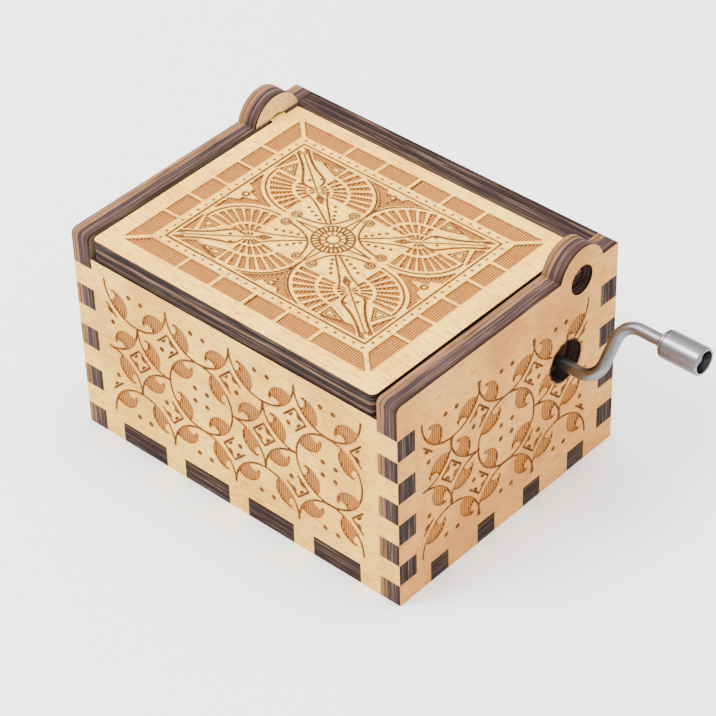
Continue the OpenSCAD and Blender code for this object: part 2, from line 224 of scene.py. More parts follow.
def engraved_tone(f, wood, uneven, ragged, stripes):
    """Bare wood's colour with the engraving's colours laid over it.

    The attribute "cut" is the distance in mm to the nearest engraved edge, negative inside the
    engraving; "field" is the same for the broad areas, which are cleared line by line.
    """
    cut = f.attribute("cut")
    field = f.attribute("field")
    hatched = f.mix(f.fade(stripes, -0.6, 0.8), HATCH_LIGHT, HATCH_DARK)
    line = f.mix(f.fade(ragged, 0.35, 0.65), LINE_LIGHT, LINE_DARK)
    bottom = f.mix(f.fade(field, 0.03, -0.03), line, hatched)
    halo = f.fade(f.math("ADD", cut, f.math("MULTIPLY", uneven, 0.2)), 0.32, 0.0, 0, 0.55)
    wood = f.mix(halo, wood, HALO)
    wood = f.mix(f.fade(cut, 0.03, -0.03), wood, bottom)
    rim = f.math("MULTIPLY", f.fade(cut, 0.09, 0.0), f.fade(cut, -0.14, -0.02))
    wood = f.mix(f.math("MULTIPLY", rim, f.fade(ragged, 0.3, 0.6, 0.3, 0.85)), wood, BURNT_RIM)
    return wood, field


def veneer(name, grain_axis, hatch_axis, pale, warm, scorch=None, shaded_below=None):
    """Birch face: fine fibres along the grain, cloudy tone, small flecks, and the engraving.

    scorch is the (y, z, r) of a hole across the board whose rim the laser burnt, in metres. Below the
    height given as the last argument, in metres, the face is darkened brown with painted shade, for the
    shadow in the gap under the lid.
    """
    f = Finish(name)
    along_grain = f.scaled(*GRAIN[grain_axis])
    fibres = f.noise(along_grain, 400, 5, 0.68, 0.25)
    clouds = f.noise(f.place, 75, 3, 0.55)
    flecks = f.noise(along_grain, 560, 2, 0.5)
    wood = f.mix(f.fade(clouds, 0.35, 0.68), pale, warm)
    wood = f.mix(f.fade(fibres, 0.46, 0.66, 0, 0.8), wood, FIBRE)
    wood = f.mix(f.fade(flecks, 0.64, 0.76, 0, 0.55), wood, DARK_FLECK)
    wood = f.mix(f.fade(flecks, 0.34, 0.24, 0, 0.5), wood, PALE_FLECK)

    ragged = f.noise(f.place, 1500, 2, 0.6)
    uneven = f.math("SUBTRACT", ragged, 0.5)
    stripes = f.math("SINE", f.math("MULTIPLY", f.along(hatch_axis), 2 * math.pi / HATCH_PITCH))
    stripes = f.math("ADD", stripes, f.math("MULTIPLY", uneven, 1.6))
    wood, field = engraved_tone(f, wood, uneven, ragged, stripes)

    ridges = f.math("MULTIPLY", stripes, f.fade(field, 0.0, -0.1))
    normal = f.bump(fibres, 0.16, 0.04 * MM)
    normal = f.bump(ridges, 0.35, 0.05 * MM, normal)
    # painted shade: below the given height the face turns dark brown, standing in for the shadow in the gap
    # between lid and walls
    if shaded_below is not None:
        gap_shade = f.fade(f.along("Z"), shaded_below, shaded_below + GAP_SHADE_EDGE, GAP_SHADE_STRENGTH, 0.0)
        wood = f.mix(gap_shade, wood, GAP_SHADE_PAINTED)
    if scorch:
        spread = f.math("ADD", f.distance(scorch), f.math("MULTIPLY", uneven, SCORCH_RAG))
        wood = f.mix(f.fade(spread, SCORCH_REACH, 0.0), wood, SCORCH)
    return f.done(wood, f.fade(fibres, 0.3, 0.8, 0.66, 0.8), normal, WOOD_GLOSS)


# Tones of a laser-cut edge through the board's thickness, as (place, colour) from one face to the other
SIDE_PLIES = [(0.0, (84, 58, 40)), (0.04, (148, 104, 68)), (0.17, (134, 94, 62)), (0.2, (58, 38, 28)),
              (0.24, (142, 100, 66)), (0.36, (122, 86, 62)), (0.39, (44, 28, 24)), (0.44, (62, 46, 46)),
              (0.6, (64, 48, 48)), (0.64, (102, 80, 70)), (0.7, (50, 35, 33)), (0.78, (80, 58, 48)),
              (0.87, (56, 38, 30)), (0.93, (34, 20, 16)), (1.0, (26, 16, 12))]
CROSS_PLIES = [(0.0, (32, 20, 16)), (0.08, (60, 42, 32)), (0.2, (34, 24, 24)), (0.42, (44, 31, 31)),
               (0.47, (82, 58, 46)), (0.53, (28, 19, 18)), (0.74, (38, 26, 25)), (0.8, (70, 48, 36)),
               (0.88, (32, 22, 20)), (1.0, (24, 14, 12))]
LID_PLIES = [(0.0, (20, 12, 10)), (0.1, (38, 24, 20)), (0.18, (82, 56, 40)), (0.26, (26, 16, 15)),
             (0.46, (30, 20, 20)), (0.53, (126, 94, 74)), (0.6, (90, 60, 42)), (0.66, (28, 18, 17)),
             (0.9, (25, 16, 16)), (0.94, (52, 37, 30)), (1.0, (78, 57, 44))]
STREAK_DARK, STREAK_PALE = srgb(24, 16, 15), srgb(138, 108, 88)
BAND_DARK, SOOT = srgb(34, 22, 19), srgb(26, 17, 15)
DRAWN, HALF_DRAWN = 0.02, 0.08  # how far the streaks and the bands are drawn out along the board


def laser_edge(name, axis, inner, outer, plies):
    """Burnt plywood edge: plies of different tone that run along the board from the face at inner to
    the face at outer on an axis, drawn-out streaks in each, and soot that gathers in patches."""
    f = Finish(name)
    stretch = [1 if letter == axis else DRAWN for letter in "XYZ"]
    streaks = f.noise(f.scaled(*stretch), 4200, 2, 0.65)
    bands = f.noise(f.scaled(*[max(HALF_DRAWN, way) for way in stretch]), 1500, 2, 0.5)
    soot = f.noise(f.place, 160, 3, 0.55)
    waver = f.math("MULTIPLY", f.math("SUBTRACT", f.noise(f.place, 120, 2), 0.5), 0.5 * MM)
    depth = f.fade(f.math("ADD", f.along(axis), waver), inner, outer)
    depth.node.interpolation_type = "LINEAR"
    colour = f.ramp(depth, [(at, srgb(*tone)) for at, tone in plies])
    colour = f.mix(f.fade(streaks, 0.5, 0.7, 0, 0.75), colour, STREAK_DARK)
    colour = f.mix(f.fade(streaks, 0.46, 0.3, 0, 0.5), colour, STREAK_PALE)
    colour = f.mix(f.fade(bands, 0.5, 0.75, 0, 0.5), colour, BAND_DARK)
    colour = f.mix(f.fade(soot, 0.4, 0.75, 0, 0.35), colour, SOOT)
    normal = f.bump(streaks, 0.4, 0.05 * MM)
    return f.done(colour, f.fade(streaks, 0.3, 0.7, 0.6, 0.75), normal, WOOD_GLOSS)


# ---------------------------------------------------------------- engraving, as signed distances in mm

def disc(u, v, cu, cv, r):
    """Distance to a disc's edge, negative inside."""
    return np.hypot(u - cu, v - cv) - r


def ring(u, v, cu, cv, r, width):
    """Distance to a circular line of this width."""
    return np.abs(disc(u, v, cu, cv, r)) - width / 2


def stroke(u, v, a, b, width):
    """Distance to a straight stroke from a to b with round ends."""
    (au, av), (bu, bv) = a, b
    du, dv = bu - au, bv - av
    t = np.clip(((u - au) * du + (v - av) * dv) / (du * du + dv * dv), 0, 1)
    return np.hypot(u - au - t * du, v - av - t * dv) - width / 2


def three_sided(u, v, corners):
    """Distance inside a triangle given by its corners, the greatest of those to its three sides."""
    middle = np.mean(corners, axis=0)
    sides = []
    for (pu, pv), (qu, qv) in zip(corners, corners[1:] + corners[:1]):
        nu, nv = qv - pv, pu - qu
        if (middle[0] - pu) * nu + (middle[1] - pv) * nv > 0:
            nu, nv = -nu, -nv
        sides.append(((u - pu) * nu + (v - pv) * nv) / math.hypot(nu, nv))
    return both(*sides)


def both(*parts):
    """Intersection of areas."""
    return np.maximum.reduce(parts)


def either(*parts):
    """Union of areas."""
    return np.minimum.reduce(parts)


# ---------------------------------------------------------------- the walls' pattern

LINE, CIRCLE_R = 0.3, 6.45  # width of its lines and radius of its circles, in mm
FAR = 9.0  # a distance beyond every edge of the pattern
QUARTERS = {(-1, -1): 0, (-1, 1): 1, (1, 1): 2, (1, -1): 3}  # a quarter's direction and its turns


def quarter(u, v, turn):
    """A quarter of the circle motif about the origin: a quarter arc, a paisley leaf and a dot.

    The leaf is the overlap of the circle with a smaller disc, less a round notch that leaves a hook.
    turn counts quarter turns clockwise from the lower left quarter.
    """
    for _ in range(turn % 4):
        u, v = -v, u
    overlap = 0.12
    arc = both(ring(u, v, 0, 0, CIRCLE_R, LINE), np.maximum(u, v) - overlap)
    body = disc(u, v, -4.7, -4.1, 2.75)
    notch = disc(u, v, -5.45, -2.3, 1.12)
    hook = both(disc(u, v, -4.5, -2.0, 0.7), -disc(u, v, -4.95, -2.3, 0.6))
    leaf = either(both(disc(u, v, 0, 0, CIRCLE_R), body, -notch), hook)
    dot = disc(u, v, -1.3, -1.2, 0.42)
    return either(arc, dot), leaf


def star_frame(u, v, sides):
    """A square stood on its corner with four petals inside; sides lists which of its sides are there."""
    reach, inner_reach = 2.15, 1.72
    petal_at, petal_r = 1.1, 0.72
    across = np.abs(u) + np.abs(v)
    rim = np.abs(across - reach) / math.sqrt(2) - LINE / 2
    petals = np.full_like(u, FAR)
    keep = np.full_like(u, FAR)
    for su, sv in sides:
        here = np.maximum(-u * su, -v * sv)
        keep = either(keep, here)
        petal = disc(u, v, su * petal_at, sv * petal_at, petal_r)
        petals = either(petals, both(petal, across - inner_reach))
    return either(both(rim, keep), petals)


def circle_lattice(u, v, columns, pitch_u, pitch_v):
    """The side faces' pattern about the origin: rows of circles on a lattice.

    The middle row alternates whole circles ("o") and diamonds ("x") that the quarters of the circles
    at their corners leave; the top and bottom rows are half circles that open outwards.
    """
    lines = np.full_like(u, FAR)
    fields = np.full_like(u, FAR)

    def put(cu, cv, quarters):
        """Adds these quarters of a circle about a centre."""
        nonlocal lines, fields
        for q in quarters:
            line, leaf = quarter(u - cu, v - cv, QUARTERS[q])
            lines, fields = either(lines, line), either(fields, leaf)

    half = (len(columns) - 1) / 2
    corners_used = {}
    for i, kind in enumerate(columns):
        cu = (i - half) * pitch_u
        put(cu, pitch_v, [(-1, -1), (1, -1)])
        put(cu, -pitch_v, [(-1, 1), (1, 1)])
        if kind == "o":
            put(cu, 0, list(QUARTERS))
            continue
        lines = either(lines, star_frame(u - cu, v, list(QUARTERS)))
        for su, sv in QUARTERS:
            put(cu + su * pitch_u / 2, sv * pitch_v / 2, [(-su, -sv)])
            corners_used.setdefault((2 * i + su, sv), []).append((-su, -sv))
    for i in range(len(columns) + 1):
        for sv in (-1, 1):
            used = corners_used.get((2 * i - 1, sv), [])
            sides = [q for q in QUARTERS if q not in used and not (i == 0 and q[0] < 0)
                     and not (i == len(columns) and q[0] > 0)]
            lines = either(lines, star_frame(u - (i - half - 0.5) * pitch_u, v - sv * pitch_v / 2, sides))
    return lines, fields


# ---------------------------------------------------------------- the lid's pattern
#
# Each part of it takes x and y, the distances from the lid's middle along both axes, so that it repeats
# in the four quarters, and returns its lines and its fields as lists of signed distances.

HUB_X, HUB_Y = 10.1, 7.85  # middle of a medallion
HAIRLINE = 0.13  # half the width of a fine line
INSIDE_X, INSIDE_Y = 19.3, 15.3  # how far the corner ornament reaches
SMALL_FAN = ((4.4, 8.0, 8, 0.62), (1.9, 3.7, 5, 0.56), (0.6, 1.5, 3, 0.5))  # inner, outer, count, fill
LARGE_FAN = ((5.9, 9.4, 8, 0.62), (2.9, 5.2, 6, 0.56), (0.9, 2.3, 4, 0.5))
SMALL_DOTS = ((5.2, 6.5), (4.4, 5.6), (3.8, 4.7), (3.2, 3.9), (8.2, 3.8), (7.1, 3.3), (6.0, 2.9),
              (4.9, 2.5), (12.8, 9.2), (11.5, 10.6))


def block_band(x, y):
    """Band of cleared blocks along the four sides, mitred at the corners."""
    band_x, band_y, band_w = 21.6, 17.7, 3.0
    mitre_gap, half_gap = 0.42, 0.34
    mitre = ((y - band_y) - (x - band_x)) / math.sqrt(2)
    row = both(np.abs(y - band_y - band_w / 2) - band_w / 2, mitre_gap - mitre)
    column = both(np.abs(x - band_x - band_w / 2) - band_w / 2, mitre_gap + mitre)
    for gap in (0, 6.5, 13.2):
        row = both(row, half_gap - np.abs(x - gap))
    for gap in (0, 5.7, 11.3):
        column = both(column, half_gap - np.abs(y - gap))
    return [], [row, column]


def dotted_frame(x, y):
    """Evenly spaced dots in a row, and a ruled line inside them."""
    pitch, dot_r = 1.76, 0.2
    dots_x, dots_y = 20.65, 16.8
    rule_x, rule_y = 19.9, 15.95
    beside = lambda w: np.abs((w / pitch) % 1 - 0.5) * pitch
    row = both(np.hypot(beside(x), y - dots_y) - dot_r, x - dots_x + 0.25)
    column = both(np.hypot(x - dots_x, beside(y)) - dot_r, y - dots_y + 0.4)
    rule = np.abs(np.maximum(x - rule_x, y - rule_y)) - HAIRLINE
    return [row, column, rule], []


def small_oval(a, b):
    """1 on the oval round the hub on the side of the lid's end, less inside it."""
    return np.hypot(a / 8.57, b / 7.27)


def large_oval(a, b):
    """1 on the oval round the hub on the side of the lid's long edge, less inside it."""
    return np.hypot(a / 10.05, b / 8.14)


def fan(a, b, inner, outer, count, fill):
    """Radial slots in a quarter circle: a and b are distances along the quarter's two straight sides."""
    r = np.hypot(a, b)
    angle = np.arctan2(b, a) / (math.pi / 2) * count
    side = np.abs(angle - np.floor(angle) - 0.5) - fill / 2
    slots = side * (math.pi / 2) / count * r
    return both(slots, inner - r, r - outer, -a, -b)


def medallion(x, y):
    """Two ovals that share a hub, each with rings of slots: the small one opens towards the lid's end,
    the large one towards its long edge."""
    a, b = x - HUB_X, y - HUB_Y
    small_squash, large_squash = 1.18, 1.24
    spine, middle_gap = 0.1, 0.3
    fields = []
    for slots in SMALL_FAN:
        fields.append(both(fan(a + spine, (spine - b) * small_squash, *slots), middle_gap - y))
    for slots in LARGE_FAN:
        fields.append(both(fan(spine - a, (b + spine) * large_squash, *slots), y - 15.1, middle_gap - x))
    small = both(np.abs(small_oval(a, b) - 1) * 7.9 - HAIRLINE, -a, b - 0.4, 0.15 - y, x - 19.5)
    large = both(np.abs(large_oval(a, b) - 1) * 9 - HAIRLINE, a, -b - 0.4, 0.15 - x, y - 15.4)
    tie = stroke(x, y, (0, 7.7), (0, 10.0), 0.3)
    return [small, large, tie], fields


def dark_strips(x, y):
    """Wavy cleared strips outside the ovals, which meet in a point between two medallions, with an
    eyelet and a dot in each."""
    a, b = x - HUB_X, y - HUB_Y
    lines = [ring(x, y, 0, 14.1, 0.5, 0.28), ring(x, y, 17.9, 0, 0.5, 0.28)]
    lines += [disc(x, y, 1.0, 13.1, 0.24), disc(x, y, 16.9, 0.9, 0.24)]
    fields = []
    strips = ((np.minimum(large_oval(a, b), large_oval(x + HUB_X, b)), 1.05, y - 15.35, x - 7.0),
              (np.minimum(small_oval(a, b), small_oval(a, y + HUB_Y)), 1.11, x - 19.4, y - 5.6))
    for near, start, edge, end in strips:
        wavy = 0.15 + 0.035 * np.cos(4 * end)
        strip = both((start - near) * 8.5, (near - start - wavy) * 8.5, edge, -edge - 6.6, end)
        fields.append(strip)
        lines.append(both(np.abs(strip) - 0.09, edge, -edge - 6.6))
    return lines, fields


def diagonal(x, y):
    """Distances along and across the line from the hub to the lid's corner."""
    a, b = x - HUB_X, y - HUB_Y
    return a * 0.80 + b * 0.60, b * 0.80 - a * 0.60


def trumpet_width(s):
    """Half the trumpet's width at a distance s from the hub."""
    return np.interp(s, [0.5, 1.2, 1.9, 2.6, 3.3, 4.2, 5.6, 7.2, 9.0, 12.0],
                     [0.2, 0.95, 1.55, 1.72, 1.62, 1.35, 1.02, 0.82, 0.78, 0.95])


def trumpet(x, y):
    """Trumpet from the hub to the corner with a midline, and a narrow point with a diamond that runs
    the other way, towards the lid's middle."""
    s, side = diagonal(x, y)
    t = np.abs(side)
    inside = both(x - INSIDE_X, y - INSIDE_Y)
    outline = both(np.abs(t - trumpet_width(s)) * 0.88 - 0.16, 0.8 - s, s - 11.2, inside)
    midline = both(t - 0.1, -s - 0.9, s - 10.6)
    half_width = np.interp(-s, [0.6, 1.4, 2.4, 3.8, 8.8], [1.7, 1.35, 1.05, 0.8, 0.28])
    point = both(np.abs(t - half_width) * 0.9 - 0.11, s + 0.6, -s - 8.8)
    kite = np.abs(s + 2.2) * 0.45 + t
    return [outline, midline, point, np.abs(kite - 0.58) - 0.1], [kite - 0.36]


def corner_wedges(x, y):
    """Cleared wedges in the corner, and three-sided filigree either side of the trumpet."""
    s, side = diagonal(x, y)
    t = np.abs(side)
    clear = trumpet_width(s) + 0.55 - t
    inside = both(x - INSIDE_X, y - INSIDE_Y)
    fields = [both(y - 15.35, 10.4 - x, 15.2 - 1.5 * (x - 10.4) / 5.4 - y, clear, -side, inside),
              both(x - 19.35, 8.2 - y, 19.2 - 1.6 * (y - 8.2) / 4.6 - x, clear, side, inside),
              both(inside, 10.0 - s, t - 0.75, 0.35 - t)]
    lines = []
    for corners in (((14.2, 14.0), (10.5, 15.0), (10.5, 12.7)), ((17.2, 11.3), (15.5, 8.6), (18.4, 8.5))):
        gap = three_sided(x, y, corners)
        lines += [np.abs(gap) - 0.11, np.abs(gap + 0.42) - 0.09]
    return lines, fields


def rosette(x, y):
    """Three rings in the lid's middle with ticks between them, its spikes, and bowed lines round it."""
    outer, middle, inner = 3.35, 2.1, 1.05
    r = np.hypot(x, y)
    turn = np.arctan2(y, x) / (2 * math.pi)
    tick = lambda count: np.abs((turn * count) % 1 - 0.5) / count * 2 * math.pi * r
    lines = [np.abs(r - outer) - 0.12, np.abs(r - middle) - 0.13, np.abs(r - inner) - 0.11]
    lines.append(both(tick(26) - 0.14, middle - r, r - outer))
    lines.append(both(tick(12) - 0.1, inner - r, r - middle))
    for p, q in ((x, y), (y, x)):
        lines.append(both(np.abs(q - np.interp(p, [3.3, 7.4], [0.6, 0.0])) - 0.11, 3.3 - p, p - 7.5))
    lines.append(both(np.abs(x * y - 7.6) / r - HAIRLINE, x - 8.1, y - 5.9, 3.3 - r))
    return lines, []


def curls_and_dots(x, y):
    """A spiral curl either side of each point, with small dots in rows."""
    curl_r, curl_pitch, dot_r = 0.95, 0.46, 0.26
    lines = []
    for cu, cv in ((1.5, 6.6), (8.5, 1.2)):
        r = disc(x, y, cu, cv, 0)
        turned = np.arctan2(y - cv, x - cu) / (2 * math.pi)
        curl = np.abs((r / curl_pitch - turned) % 1 - 0.5) * curl_pitch - 0.11
        lines.append(both(curl, r - curl_r))
    for cu, cv in SMALL_DOTS:
        lines.append(disc(x, y, cu, cv, dot_r))
    return lines, []


def lid_panel(u, v):
    """The whole pattern about the lid's middle, mirrored in both axes."""
    x, y = np.abs(u), np.abs(v)
    lines, fields = [], []
    for part in (block_band, dotted_frame, medallion, dark_strips, trumpet, corner_wedges, rosette,
                 curls_and_dots):
        part_lines, part_fields = part(x, y)
        lines += part_lines
        fields += part_fields
    return either(*lines), either(*fields)


# ---------------------------------------------------------------- engraved boards

GRID_PITCH = 0.17  # mm between the points of an engraved face
LINE_DEPTH, FIELD_DEPTH, WALL = 0.2, 0.3, 0.16  # depths in mm, and the width of the sloped wall
HOLE_MARGIN = 0.45  # mm from a hole's rim to the engraved grid
WELD = 0.002 * MM  # points closer than this are one
LEVEL = 0.004 * MM  # points nearer the outer face than this lie on it
FACE, EDGE, BACK = 0, 1, 2  # a board's finishes, in order


def engraved_tile(pattern, low, high):
    """A grid over a rectangle, in mm: returns u, v, depth, cut and field for each grid point.

    Depth grows with the distance inside an engraved edge, up to the depth of a line or of a field.
    """
    across, up = (np.linspace(low[i], high[i], int(round((high[i] - low[i]) / GRID_PITCH)) + 1)
                  for i in (0, 1))
    u, v = np.meshgrid(across, up, indexing="ij")
    lines, fields = pattern(u, v)
    line_depth = np.clip(-lines / WALL, 0, 1) * LINE_DEPTH
    field_depth = np.clip(-fields / WALL, 0, 1) * FIELD_DEPTH
    depth = np.maximum(line_depth, field_depth)
    depth[0], depth[-1], depth[:, 0], depth[:, -1] = 0, 0, 0, 0
    return u, v, depth, np.minimum(lines, fields), fields


def merged_copy(node):
    """A CAD board's faces with their shared corners joined."""
    work = bmesh.new()
    work.from_mesh(nodes[node].data)
    bmesh.ops.remove_doubles(work, verts=work.verts, dist=WELD)
    return work


def opened_board(node, normal, corners, hole):
    """The CAD board with its outer face refilled round a rectangle given by its corners (metres).

    Returns its points and triangles, and as point numbers: the corners, the point opposite each side
    of the rectangle, and the round hole's rim in order of angle about the hole.
    """
    work = merged_copy(node)
    level = max(w.co.dot(normal) for w in work.verts)
    on_face = lambda part: all(abs(w.co.dot(normal) - level) < LEVEL for w in part.verts)
    bmesh.ops.delete(work, geom=[part for part in work.faces if on_face(part)], context="FACES_ONLY")
    rims = [e for e in work.edges if len(e.link_faces) == 1]
    hole_rim = []
    if hole:
        hole_y, hole_z, hole_r = (size * MM for size in hole)
        angle = lambda w: math.atan2(w.co.z - hole_z, w.co.y - hole_y)
        on_rim = lambda w: math.hypot(w.co.z - hole_z, w.co.y - hole_y) < hole_r + 0.1 * MM
        hole_rim = sorted({w for e in rims for w in e.verts if on_rim(w)}, key=angle)
        rims = [e for e in rims if not all(on_rim(w) for w in e.verts)]
    four = [work.verts.new(place) for place in corners]
    sides = [work.edges.new((four[k], four[(k + 1) % 4])) for k in range(4)]
    bmesh.ops.triangle_fill(work, edges=rims + sides, use_beauty=True, normal=normal)
    opposite = []
    for side in sides:
        triangle = side.link_faces[0]
        opposite.append(next(w for w in triangle.verts if w not in side.verts))
        work.faces.remove(triangle)
    bmesh.ops.triangulate(work, faces=work.faces)
    work.verts.index_update()
    points = np.array([w.co for w in work.verts])
    triangles = np.array([[w.index for w in part.verts] for part in work.faces])
    groups = [np.array([w.index for w in group], int) for group in (four, opposite, hole_rim)]
    work.free()
    return points, triangles, *groups


def zip_loops(outer, outer_turn, inner, inner_turn):
    """Triangles between two loops round one centre: each edge joins the other loop's point that the
    sweep has reached when the edge ends. The turns are the points' angles, rising."""
    full = 2 * math.pi
    outer_end = np.append(outer_turn[1:], outer_turn[0] + full)
    inner_end = np.append(inner_turn[1:], inner_turn[0] + full)
    reached_inner = np.searchsorted(inner_end, outer_end, side="left") % len(inner)
    reached_outer = np.searchsorted(outer_end, inner_end, side="right") % len(outer)
    from_outer = np.stack([outer, np.roll(outer, -1), inner[reached_inner]], -1)
    from_inner = np.stack([np.roll(inner, -1), inner, outer[reached_outer]], -1)
    return np.concatenate([from_outer, from_inner])


def clear_of_hole(u, v, index, hole):
    """The grid's squares that stay clear of a round hole, as a mask, and the grid points round the
    opening that they leave, with their angles about the hole, in order."""
    middle_u, middle_v = (u[:-1, :-1] + u[1:, 1:]) / 2, (v[:-1, :-1] + v[1:, 1:]) / 2
    kept = np.hypot(middle_u - hole[0], middle_v - hole[1]) > hole[2] + HOLE_MARGIN
    round_each = kept[:-1, :-1] * 1 + kept[1:, :-1] + kept[1:, 1:] + kept[:-1, 1:]
    on_rim = (round_each > 0) & (round_each < 4)
    rim = index[1:-1, 1:-1][on_rim]
    turn = np.arctan2(v - hole[1], u - hole[0])[1:-1, 1:-1][on_rim]
    order = np.argsort(turn)
    return kept, rim[order], turn[order]


def facing_outwards(mesh):
    """Turns every face of a closed mesh outwards."""
    work = bmesh.new()
    work.from_mesh(mesh)
    bmesh.ops.recalc_face_normals(work, faces=work.faces)
    work.to_mesh(mesh)
    work.free()


def carry(mesh, name, values):
    """Stores a number at each point of the mesh, for its finish to read."""
    layer = mesh.attributes.new(name, "FLOAT", "POINT")
    layer.data.foreach_set("value", values.astype(np.float32))


def fit_board(node, mesh, body, finishes):
    """Puts a finished board in the scene, on its body and in the place of its CAD node."""
    board = bpy.data.objects.new(node + "_wood", mesh)
    bpy.context.scene.collection.objects.link(board)
    for finish in finishes:
        mesh.materials.append(finish)
    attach(board, body)
    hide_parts(node)


def engraved_board(node, body, place, outward, pattern, low, high, finishes, hole=None):
    """A copy of a board whose outer face carries an engraved grid, joined to the rest point by point.

    place turns grid coordinates and depth (mm) into points; outward is the face's normal; hole is a
    round hole (u, v, r) in mm that the grid keeps clear of. finishes are for the face, the cut edge
    and the back.
    """
    u, v, depth, cut, field = engraved_tile(pattern, low, high)
    grid = place(u, v, depth).reshape(-1, 3) * MM
    index = np.arange(u.size).reshape(u.shape)
    corner_index = index[[0, -1, -1, 0], [0, 0, -1, -1]]
    shell, triangles, four, opposite, hole_rim = opened_board(node, Vector(outward), grid[corner_index],
                                                              hole)

    # the shell's points come first, then the grid's, whose corners stand in for the rectangle's
    first = len(shell) - len(four)
    stays = np.ones(len(shell), bool)
    stays[four] = False
    renumber = np.cumsum(stays) - 1
    renumber[four] = first + corner_index
    shell, index = shell[stays], index + first
    triangles, opposite, hole_rim = renumber[triangles], renumber[opposite], renumber[hole_rim]

    # a fan of triangles from each side of the grid to the shell, squares over the grid
    sides = (index[:, 0], index[-1, :], index[::-1, -1], index[0, ::-1])
    fans = [np.stack([side[:-1], side[1:], np.full(len(side) - 1, tip)], -1)
            for side, tip in zip(sides, opposite)]
    squares = np.stack([index[:-1, :-1], index[1:, :-1], index[1:, 1:], index[:-1, 1:]], -1)
    if hole:
        kept, rim, rim_turn = clear_of_hole(u, v, index, hole)
        shell_turn = np.arctan2(shell[hole_rim, 2] - hole[1] * MM, shell[hole_rim, 1] - hole[0] * MM)
        fans.append(zip_loops(rim, rim_turn, hole_rim, shell_turn))
        squares = squares[kept]
    squares = squares.reshape(-1, 4)

    # leave out the grid points inside the hole, and number the rest again
    points = np.concatenate([shell, grid])
    loose = np.concatenate([triangles, *fans])
    used = np.zeros(len(points), bool)
    used[loose.ravel()] = used[squares.ravel()] = True
    number = np.cumsum(used) - 1
    mesh = bpy.data.meshes.new(node + "_wood")
    mesh.from_pydata(points[used].tolist(), [], number[loose].tolist() + number[squares].tolist())
    facing_outwards(mesh)

    normals = np.empty(len(mesh.polygons) * 3)
    mesh.polygons.foreach_get("normal", normals)
    facing = normals.reshape(-1, 3) @ np.array(outward)
    kind = np.where(facing < -0.5, BACK, np.where(facing < 0.5, EDGE, FACE))
    kind[len(triangles):] = FACE
    mesh.polygons.foreach_set("material_index", kind)
    for name, values in (("cut", cut), ("field", field)):
        carry(mesh, name, np.append(np.full(first, UNCUT), values.ravel())[used])
    fit_board(node, mesh, body, finishes)


def plain_board(node, body, finishes):
    """A copy of a flat board with a face finish on its broad sides and an edge finish on its cut walls."""
    work = merged_copy(node)
    for face in work.faces:
        broad = abs(face.normal.z) >= 0.9
        face.material_index = FACE if broad else EDGE
    mesh = bpy.data.meshes.new(node + "_wood")
    work.to_mesh(mesh)
    work.free()
    for name in ("cut", "field"):
        carry(mesh, name, np.full(len(mesh.vertices), UNCUT))
    fit_board(node, mesh, body, finishes)


# ---------------------------------------------------------------- the box

def span(node):
    """The lowest and highest corner of a CAD node's box, in mm."""
    low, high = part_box(node)
    return np.array(low) / MM, np.array(high) / MM


# Veneer tones per board, though all boards are one ply: the lid's are lightest as painted light on its lit
# top, the front and back's a little darker, the sides' darkest as painted shade
LID_LIT_TONES = srgb(254, 206, 92), srgb(246, 190, 76)
LONG_TONES = srgb(246, 200, 92), srgb(226, 168, 72)
SIDE_SHADED_TONES = srgb(222, 162, 82), srgb(192, 130, 64)
EAR_TONES = srgb(248, 214, 150), srgb(240, 202, 134)

# Where the engraving lies on the walls, in mm
PATTERN_Z, ROW_PITCH = 18.65, 12.95
ENGRAVED_LOW, ENGRAVED_HIGH = 5.0, 32.8
LONG_HALF, SIDE_FRONT, SIDE_BACK = 27.4, 20.6, 20.0
HOLE_R, HOLE_RISE = 3.55, 0.8  # the crank's hole, and how far its middle lies above the crank

front_low, front_high = span("front_panel")
back_high = span("back_panel")[1]
left_low = span("left_panel")[0]
right_high = span("right_panel")[1]
lid_low, lid_high = span("lid")
bracket_low, bracket_high = span("crank_bracket")
bracket_round = (bracket_high[1] - bracket_low[1]) / 2
ply = front_high[1] - front_low[1]
crank_hole = (bracket_low[1] + bracket_round, bracket_high[2] - bracket_round + HOLE_RISE, HOLE_R)


def wall_pattern(columns, pitch, shift):
    """The lattice of circles, set in its place on a wall."""
    return lambda u, v: circle_lattice(u - shift, v - PATTERN_Z, columns, pitch, ROW_PITCH)


